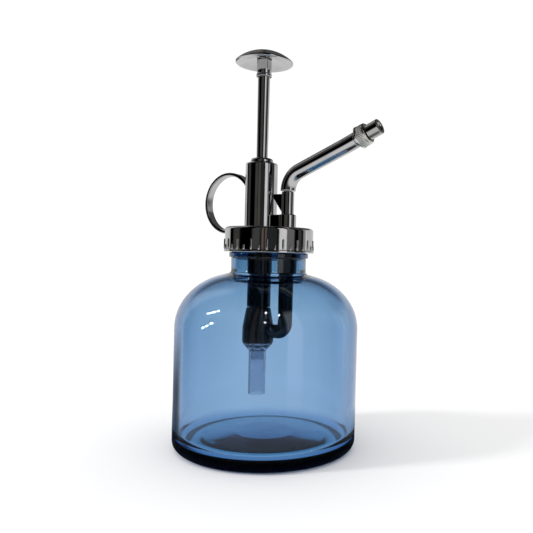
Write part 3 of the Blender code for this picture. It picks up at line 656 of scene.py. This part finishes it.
def plunger():
    """Dished thumb button, its collar, and the tapered rod."""
    radius = BUTTON_HIGH.y
    rim = BUTTON_LOW.z + 0.9
    rise = BUTTON_HIGH.z - rim
    dome = (radius**2 + rise**2) / (2 * rise)
    half_angle = degrees(asin(radius / dome))
    hole = 2.3
    hole_top = BUTTON_LOW.z + 3.4
    under = BUTTON_LOW.z
    dish = 2.0
    dish_radius = radius - 1.5
    bowl = (dish_radius**2 + dish**2) / (2 * dish)
    from_angle = 90 - degrees(asin(hole / bowl))
    to_angle = 90 - degrees(asin(dish_radius / bowl))
    rim_corners = [(dish_radius, under, 0), (radius - 0.5, under, 0.25)]
    rim_corners += [(radius, under + 0.45, 0.3), (radius - 0.05, rim, 0)]
    outline = [(0, hole_top), (hole, hole_top)]
    outline += arc(0, under + dish - bowl, bowl, bowl, from_angle, to_angle, 16)
    outline += rounded(rim_corners)[1:]
    outline += arc(0, BUTTON_HIGH.z - dome, dome, dome, 90 - half_angle + 0.8, 90, 24)
    place = about(PUMP_X)
    look = ("plunger", CHROME, "chrome_plate")
    piece("button_dome", lathe(outline, 128), *look, ["thumb_button"], place)

    low, high = COLLAR_LOW.z, BUTTON_LOW.z + dish - 0.4
    corners = [(3.25, low, 0.1), (3.75, low, 0.25), (3.75, low + 0.9, 0.25)]
    corners += [(3.45, low + 1.4, 0.2), (3.45, high, 0.15), (3.25, high, 0)]
    turned("button_ferrule", corners, 64, *look, "button_collar", place)

    shoulder = BUTTON_LOW.z - GAP
    piston_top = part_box("piston")[1].z / MM + GAP
    thread, rod = 1.5, 2.7
    corners = [(0, ROD_LOW.z, 0), (thread, ROD_LOW.z, 0.3), (thread, piston_top, 0)]
    corners += [(rod, piston_top, 0.3), (rod, 134.0, 0), (2.92, shoulder, 0.2)]
    corners += [(2.0, shoulder, 0), (2.0, ROD_HIGH.z, 0.3), (0, ROD_HIGH.z, 0)]
    piece("push_rod", lathe(rounded(corners), 64), *look, ["plunger_rod"], place)


# ---------------------------------------------------------------- inside the bottle

def cylinder_and_housing():
    step = SOCKET_LOW.z + 0.2
    low = CYLINDER_LOW.z
    look = ("head", DARK, "dark_plastic")
    corners = [(4.4, low, 0), (5.6, low, 0.3), (5.6, step - 0.6, 0.3), (5.9, step, 0.3)]
    corners += [(5.9, CYLINDER_HIGH.z, 0.2), (4.4, CYLINDER_HIGH.z, 0)]
    turned("cylinder_tube", corners, 72, *look, "pump_cylinder", about(PUMP_X))
    top = CYLINDER_LOW.z - GAP
    corners = [(5.6, HOUSING_LOW.z, 0.15), (7.4, HOUSING_LOW.z, 0.4), (7.4, 55.3, 2.2)]
    corners += [(5.8, top, 0.8), (4.1, top, 0), (4.1, HOUSING_HIGH.z, 0.2)]
    corners += [(2.6, HOUSING_HIGH.z, 0.2), (2.6, 52.2, 0), (1.1, 51.0, 0)]
    corners += [(1.1, 50.4, 0), (5.6, 50.4, 0)]
    turned("valve_foot", corners, 72, *look, "valve_housing", about(PUMP_X))


def inlet():
    low, high = 40.0, 50.1
    stop = DIP_HIGH.z + GAP
    rim = HOUSING_LOW.z - GAP
    look = ("head", CLEAR, "clear_plastic")
    corners = [(2.0, low, 0.1), (3.05, low, 0.2), (3.05, stop, 0), (4.4, stop, 0.3)]
    corners += [(7.1, rim - 0.4, 0.3), (7.1, rim, 0.1), (5.3, rim, 0)]
    corners += [(5.3, high, 0.2), (2.0, high, 0.1)]
    turned("inlet_cone", corners, 72, *look, "inlet_fitting", about(PUMP_X))
    corners = tube_corners(4.05, 3.35, DIP_LOW.z, DIP_HIGH.z, 0.2)
    turned("suction_tube", corners, 72, *look, "dip_tube", about(PUMP_X))


def delivery():
    outer = 3.35
    bend = 4.0
    port_z = 54.0
    inner = 1.7
    centre_x = SPOUT_X - bend
    look = ("head", DARK, "dark_plastic")
    stations = [((PUMP_X + 7.7, 0, port_z), (1, 0, 0), outer - 0.3, inner)]
    stations.append(((PUMP_X + 8.0, 0, port_z), (1, 0, 0), outer, inner))
    bend_steps = 16
    for i in range(bend_steps + 1):
        angle = radians(90 * i / bend_steps)
        place = (centre_x + bend * sin(angle), 0, port_z + bend - bend * cos(angle))
        stations.append((place, (cos(angle), 0, sin(angle)), outer, inner))
    top = PIPE_LOW.z - GAP
    spigot = 2.2
    for z, radius in ((top, outer), (top, spigot), (PIPE_LOW.z + 4, spigot)):
        stations.append(((SPOUT_X, 0, z), (0, 0, 1), radius, inner))
    piece("elbow", swept(stations, 56), *look, ["delivery_elbow"])
    corners = tube_corners(outer, 2.5, PIPE_LOW.z, PIPE_HIGH.z, 0.1)
    turned("riser_tube", corners, 64, *look, "delivery_tube", about(SPOUT_X))
    seat = 94.2
    stop = PIPE_HIGH.z + GAP
    corners = [(3.65, SOCKET_LOW.z, 0), (4.2, SOCKET_LOW.z, 0.2)]
    corners += [(4.2, SOCKET_HIGH.z, 0), (2.5, SOCKET_HIGH.z, 0)]
    corners += [(2.5, seat, 0), (0.9, seat - 1.2, 0), (0.9, stop, 0), (3.65, stop, 0)]
    turned("riser_socket", corners, 64, *look, "delivery_socket", about(SPOUT_X))


def return_spring():
    """Round wire coil. The real one closes up as the plunger goes down, but this one keeps one
    shape.
    """
    turns = 12
    wire = 0.35
    coil = 3.4
    per_turn = 24
    sides = 8
    steps = turns * per_turn
    low = SPRING_LOW.z + wire
    high = SPRING_HIGH.z - wire
    shape = bmesh.new()
    loops = []
    for i in range(steps + 1):
        angle = 2 * pi * i / per_turn
        out = Vector((cos(angle), sin(angle), 0))
        centre = out * coil + Vector((0, 0, low + (high - low) * i / steps))
        loop = []
        for k in range(sides):
            a = 2 * pi * k / sides
            offset = (out * cos(a) + Vector((0, 0, 1)) * sin(a)) * wire
            loop.append(shape.verts.new(centre + offset))
        loops.append(loop)
    for near, far in zip(loops, loops[1:]):
        join_loops(shape, near, far)
    shape.faces.new(loops[0])
    shape.faces.new(loops[-1])
    obj = piece(
        "coil_spring",
        shape,
        "head",
        STEEL,
        "stainless_steel",
        ["return_spring"],
        about(PUMP_X),
        sharp=60,
    )
    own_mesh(obj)


# ---------------------------------------------------------------- spout and nozzle

def along(distance):
    return NOZZLE_ORIGIN + NOZZLE_AXIS * distance


def spout():
    radius = 3.5
    edge = 0.25
    bend = 9.5
    start_z = CAP_TOP + 16.7
    inner = 1.4
    spigot = 2.0
    socket = 2.7
    turn = 90 - SPOUT_RISE
    up = (0, 0, 1)
    stations = [((SPOUT_X, 0, 112.2), up, spigot, inner)]
    stations.append(((SPOUT_X, 0, start_z), up, spigot, inner))
    stations.append(((SPOUT_X, 0, start_z), up, radius - edge, inner))
    stations.append(((SPOUT_X, 0, start_z + edge), up, radius, inner))
    bend_steps = 28
    for i in range(1, bend_steps + 1):
        angle = radians(turn * i / bend_steps)
        rise = start_z + edge + bend * sin(angle)
        place = (SPOUT_X + bend * (1 - cos(angle)), 0, rise)
        stations.append((place, (sin(angle), 0, cos(angle)), radius, inner))
    direction = tuple(NOZZLE_AXIS)
    for distance, outer, inside in (
        (-6.6, radius, inner),
        (-6.6, radius, socket),
        (-0.85, radius, socket),
        (-0.6, radius - edge, socket),
    ):
        stations.append((tuple(along(distance)), direction, outer, inside))
    piece("bent_spout", swept(stations, 64), "head", CHROME, "chrome_plate", ["spout_tube"])


def nozzle():
    lean = Matrix.Rotation(radians(90 - SPOUT_RISE), 4, "Y")
    tilt = Matrix.Translation(NOZZLE_ORIGIN) @ lean
    corners = [(1.2, -5.5, 0), (2.4, -5.5, 0.2), (2.4, -0.3, 0), (3.7, -0.3, 0.15)]
    corners += [(3.7, 0.5, 0.15), (2.6, 0.5, 0), (2.6, 3.4, 0.2), (1.2, 3.4, 0)]
    look = ("head", CHROME, "chrome_plate")
    turned("nipple", corners, 64, *look, "nozzle_nipple", tilt)
    corners = [(2.95, 0.8, 0.1), (5.0, 0.8, 0.2), (5.0, 1.6, 0.2), (4.55, 1.85, 0.15)]
    corners += [(4.55, 4.6, 0.1), (4.7, 4.75, 0.1), (4.7, 5.15, 0.15), (4.3, 5.6, 0.3)]
    corners += [(3.3, 5.6, 0.1), (3.3, 5.0, 0), (2.95, 5.0, 0)]
    look = ("nozzle", SATIN, "satin_nickel")
    turned("nut_body", corners, 96, *look, "nozzle_nut", tilt)
    knurl = bmesh.new()
    count = 40
    size = 0.3
    for i in range(count):
        outline = arc(0, 2.1, size, size, -90, 0, 2) + arc(0, 4.4, size, size, 0, 90, 2)
        ridge = lathe(outline, 8)
        turn = Matrix.Rotation(2 * pi * i / count, 4, "Z") @ about(4.5)
        bmesh.ops.transform(ridge, matrix=turn, verts=ridge.verts)
        add_copy(knurl, ridge)
    piece("nut_knurl", knurl, "nozzle", SATIN, "satin_nickel", place=tilt, weighted=False)
    corners = [(2.2, 5.3, 0), (3.0, 5.3, 0), (3.0, 5.9, 0), (3.4, 5.95, 0.1)]
    corners += [(3.4, 11.5, 0.3), (1.9, 11.5, 0.15), (1.5, 11.0, 0.2)]
    corners += [(0.45, 10.75, 0.1), (0.45, 10.2, 0), (2.2, 10.2, 0)]
    look = ("nozzle", NICKEL, "satin_nickel")
    turned("spray_tip", corners, 72, *look, "nozzle_tip", tilt)


# ---------------------------------------------------------------- build

bottle()
skirt()
grip_ribs()
barrel()
boss()
brace()
finger_ring()
rod_guide()
plunger()
cylinder_and_housing()
inlet()
delivery()
return_spring()
spout()
nozzle()

# Hidden nodes that are shown as the CAD has them, with only a material put on.
CARRIED_OVER = {
    "cap_liner": WHITE,
    "guide_washer": RUBBER,
    "piston": WHITE,
    "piston_seal": RUBBER,
    "piston_nut": STEEL,
    "inlet_ball": STEEL,
    "inlet_ball_cage": WHITE,
    "outlet_ball": STEEL,
    "outlet_ball_cage": WHITE,
    "nozzle_washer": RUBBER,
    "swirl_insert": WHITE,
}
for node, material in CARRIED_OVER.items():
    mesh = frame["nodes"][node].data
    mesh.materials.clear()
    mesh.materials.append(material)


# ---------------------------------------------------------------- stage

CAMERA_AZIMUTH = 37.75
CAMERA_DISTANCE = 0.291
CAMERA_HEIGHT = 0.0907
CAMERA_YAW = 6.11
CAMERA_PITCH = 1.16
CAMERA_ROLL = 1.55
CAMERA_LENS = 41.57
CAMERA_SHIFT = -0.1277

FLOOR_RADIUS = 0.7
SHADE_RADIUS = 0.11
SHADE_FADE = (0.055, 0.105)
SHADE_Z = -0.0005


def disc(name, radius):
    shape = bmesh.new()
    bmesh.ops.create_circle(shape, cap_ends=True, segments=96, radius=radius)
    return linked(name, mesh_from(name, shape))


def floor():
    """Pale paper, which mirrors and glass don't see."""
    obj = disc("floor", FLOOR_RADIUS)
    material, nodes, links, shader = new_material("floor paper")
    shader.inputs["Roughness"].default_value = 0.9
    shader.inputs["Specular IOR Level"].default_value = 0.1
    tone = spread(nodes, links, noise(nodes, links, PAPER, 2.0), 0, 1)
    tinted(nodes, links, shader, tone, (0.91, 0.91, 0.91), (0.92, 0.92, 0.92))
    obj.data.materials.append(material)
    obj.visible_glossy = False
    obj.visible_transmission = False


def contact_shade():
    """The shadow close round the base, seen only in mirrors, such as the heel of the glass."""
    obj = disc("contact_shade", SHADE_RADIUS)
    obj.location.z = SHADE_Z
    material, nodes, links, shader = new_material("contact shade")
    shader.inputs["Base Color"].default_value = (0.02, 0.03, 0.04, 1)
    shader.inputs["Roughness"].default_value = 1.0
    shader.inputs["Specular IOR Level"].default_value = 0.0
    coordinates = nodes.new("ShaderNodeTexCoord")
    length = nodes.new("ShaderNodeVectorMath")
    length.operation = "LENGTH"
    links.new(coordinates.outputs["Object"], length.inputs[0])
    fade = spread(nodes, links, length.outputs["Value"], 1, 0, *SHADE_FADE)
    links.new(fade, shader.inputs["Alpha"])
    obj.data.materials.append(material)
    obj.visible_camera = False
    obj.visible_transmission = False
    obj.visible_diffuse = False
    obj.visible_shadow = False


def camera():
    """Low three-quarter view, rolled a little, with the object left of the lens axis."""
    azimuth = radians(CAMERA_AZIMUTH)
    data = bpy.data.cameras.new("camera")
    data.sensor_width = 36
    data.lens = CAMERA_LENS
    data.shift_x = CAMERA_SHIFT
    data.clip_start = 0.01
    data.clip_end = 20
    obj = linked("camera", data)
    back = Vector((sin(azimuth), -cos(azimuth), 0))
    obj.location = back * CAMERA_DISTANCE + Vector((0, 0, CAMERA_HEIGHT))
    heading = Matrix.Rotation(azimuth - radians(CAMERA_YAW), 3, "Z")
    lean = Matrix.Rotation(pi / 2 - radians(CAMERA_PITCH), 3, "X")
    roll = Matrix.Rotation(radians(CAMERA_ROLL), 3, "Z")
    obj.rotation_euler = (heading @ lean @ roll).to_euler()
    bpy.context.scene.camera = obj


def lamp(name, bearing, height, distance, size, power, glints=None):
    """A round lamp, placed by its angles. A glint lamp shows only in a collection of pieces."""
    data = bpy.data.lights.new(name, "AREA")
    data.shape = "DISK"
    data.size = size
    data.energy = power
    obj = linked(name, data)
    azimuth = radians(CAMERA_AZIMUTH + bearing)
    height = radians(height)
    level = Vector((sin(azimuth), -cos(azimuth), 0)) * cos(height)
    direction = level + Vector((0, 0, sin(height)))
    obj.location = direction * distance + Vector((0, 0, LAMP_AIM_Z))
    obj.rotation_euler = direction.to_track_quat("Z", "Y").to_euler()
    obj.visible_glossy = bool(glints)
    obj.visible_transmission = bool(glints)
    obj.visible_diffuse = not glints
    if glints:
        obj.light_linking.receiver_collection = glints


def lights():
    """A soft key lamp from the left, and small lamps in rows whose glints show in the glass."""
    lamp("key", *KEY_LAMP)
    glassware = bpy.data.collections.new("glassware")
    glassware.objects.link(bpy.data.objects["glass_bottle"])
    for i, (bearing, height) in enumerate(GLINT_LAMPS):
        lamp(f"row_lamp_{i}", bearing, height, *GLINT_LAMP, glassware)


def world():
    """White to the eye and through the glass, and an even glow for matt surfaces.

    What is mirrored is a white backdrop behind the object, a pale ground, and a dark room
    with bright panels in front. Lamps are sampled and the world isn't, because sampling it
    as a lamp lights mirrors with the white that only the eye should see.
    """
    world = bpy.data.worlds.new("studio")
    bpy.context.scene.world = world
    world.use_nodes = True
    world.cycles.sampling_method = "NONE"
    nodes, links = world.node_tree.nodes, world.node_tree.links
    nodes.clear()

    def maths(operation, *values):
        node = nodes.new("ShaderNodeMath")
        node.operation = operation
        for socket, value in zip(node.inputs, values):
            if isinstance(value, (int, float)):
                socket.default_value = value
            else:
                links.new(value, socket)
        return node.outputs[0]

    coordinates = nodes.new("ShaderNodeTexCoord")
    split = nodes.new("ShaderNodeSeparateXYZ")
    links.new(coordinates.outputs["Generated"], split.inputs[0])
    x, y, z = split.outputs
    azimuth = radians(CAMERA_AZIMUTH)
    towards = maths(
        "SUBTRACT",
        maths("MULTIPLY", x, sin(azimuth)),
        maths("MULTIPLY", y, cos(azimuth)),
    )
    across = maths(
        "ADD", maths("MULTIPLY", x, cos(azimuth)), maths("MULTIPLY", y, sin(azimuth))
    )
    bearing = maths("MULTIPLY", maths("ARCTAN2", across, towards), 180 / pi)
    height = maths("MULTIPLY", maths("ARCSINE", z), 180 / pi)

    def step(value, edge, softness):
        ranged = nodes.new("ShaderNodeMapRange")
        ranged.interpolation_type = "SMOOTHSTEP"
        ranged.inputs["From Min"].default_value = edge - softness
        ranged.inputs["From Max"].default_value = edge + softness
        links.new(value, ranged.inputs["Value"])
        return ranged.outputs["Result"]

    def band(value, low, high, softness):
        return maths("SUBTRACT", step(value, low, softness), step(value, high, softness))

    def add(first, second):
        if first is None:
            return second
        node = nodes.new("ShaderNodeMix")
        node.data_type = "RGBA"
        node.blend_type = "ADD"
        node.inputs["Factor"].default_value = 1
        links.new(first, node.inputs["A"])
        links.new(second, node.inputs["B"])
        return node.outputs["Result"]

    def scaled(mask, colour):
        node = nodes.new("ShaderNodeMix")
        node.data_type = "RGBA"
        node.clamp_factor = False
        node.inputs["A"].default_value = (0, 0, 0, 1)
        node.inputs["B"].default_value = (*colour, 1)
        links.new(mask, node.inputs["Factor"])
        return node.outputs["Result"]

    def over(mask, under, colour):
        node = nodes.new("ShaderNodeMix")
        node.data_type = "RGBA"
        node.inputs["B"].default_value = (*colour, 1)
        links.new(mask, node.inputs["Factor"])
        links.new(under, node.inputs["A"])
        return node.outputs["Result"]

    def background(strength):
        node = nodes.new("ShaderNodeBackground")
        node.inputs["Strength"].default_value = strength
        node.inputs["Color"].default_value = (1, 1, 1, 1)
        return node

    def either(depth, at_none, after_one):
        node = nodes.new("ShaderNodeMixShader")
        links.new(maths("MINIMUM", depth, 1), node.inputs["Fac"])
        links.new(at_none.outputs[0], node.inputs[1])
        links.new(after_one.outputs[0], node.inputs[2])
        return node

    path = nodes.new("ShaderNodeLightPath")
    total = None
    for low, high, bottom, top, softness, colour in PANELS:
        wide = band(bearing, low, high, softness)
        tall = band(height, bottom, top, PANEL_FADE)
        total = add(total, scaled(maths("MULTIPLY", wide, tall), colour))
    in_front = band(bearing, BACKDROP_LEFT, BACKDROP_RIGHT, BACKDROP_EDGE)
    behind = maths("SUBTRACT", 1, in_front)
    low_down = maths("SUBTRACT", 1, step(height, BACKDROP_TOP, BACKDROP_FADE))
    total = add(total, scaled(maths("MULTIPLY", behind, low_down), BACKDROP))
    level = maths("SUBTRACT", 1, step(height, GROUND_TOP, GROUND_FADE))
    total = over(level, total, GROUND)
    dark = maths("MULTIPLY", band(bearing, *CORNER_BEARINGS), band(height, *CORNER_HEIGHTS))
    total = over(dark, total, CORNER)

    room = background(1.0)
    links.new(total, room.inputs["Color"])
    seen = either(path.outputs["Glossy Depth"], background(WHITE_STRENGTH), room)
    lit = either(path.outputs["Diffuse Depth"], seen, background(1.0))
    output = nodes.new("ShaderNodeOutputWorld")
    links.new(lit.outputs[0], output.inputs["Surface"])


LAMP_AIM_Z = 0.06

# Bearings are in degrees round from the camera's side, with 90 to the camera's right.
# Heights are in degrees above the level.
KEY_LAMP = (-78, 33, 4.0, 0.6, 57.0)  # bearing, height, distance, size, power
GLINT_LAMP = (1.6, 0.05, 1.6)  # distance, size, power
GLINT_LAMPS = [
    (-86, 28), (-80, 33), (-74, 36.5),
    (-82, 5), (-77, 10), (-72, 15),
    (-2, 50), (-2, 29), (18, 44),
]

BACKDROP_LEFT = -120
BACKDROP_RIGHT = 108
BACKDROP_EDGE = 3
BACKDROP_TOP = 20
BACKDROP_FADE = 8
BACKDROP = (0.78, 0.78, 0.78)
GROUND_TOP = -13
GROUND_FADE = 9
GROUND = (0.9, 0.9, 0.9)
CORNER = (0.15, 0.16, 0.16)
CORNER_BEARINGS = (-160, -132, 6)  # from, to, softness
CORNER_HEIGHTS = (-34, -9, 4)
PANEL_FADE = 5
WHITE_STRENGTH = 1.05

# What mirrors see in front: bearing from and to, height from and to, softness, colour.
PANELS = [
    (104, 256, 22, 60, 8, (0.10, 0.105, 0.11)),
    (-178, -104, 22, 60, 6, (0.16, 0.16, 0.16)),
    (-140, -118, 22, 60, 5, (0.6, 0.6, 0.6)),
    (-104, -82, -25, 60, 4, (0.07, 0.066, 0.06)),
    (-44, -24, -25, 60, 4, (0.075, 0.08, 0.078)),
    (-20, -14, -25, 60, 2, (0.17, 0.13, 0.10)),
    (-11, -7, -25, 60, 2, (0.16, 0.15, 0.14)),
    (-7, 20, -25, 60, 4, (0.03, 0.034, 0.034)),
    (25, 45, -14, 50, 2, (1.0, 1.0, 1.0)),
    (45, 67, -25, 40, 3, (0.2, 0.2, 0.2)),
    (80, 91, -25, 40, 3, (0.07, 0.07, 0.07)),
    (98, 112, -25, 25, 3, (0.4, 0.4, 0.405)),
]

floor()
contact_shade()
camera()
lights()
world()

scene = bpy.context.scene
scene.view_settings.view_transform = "Standard"
scene.cycles.max_bounces = 24
scene.cycles.transmission_bounces = 20
scene.cycles.glossy_bounces = 8
scene.cycles.transparent_max_bounces = 16
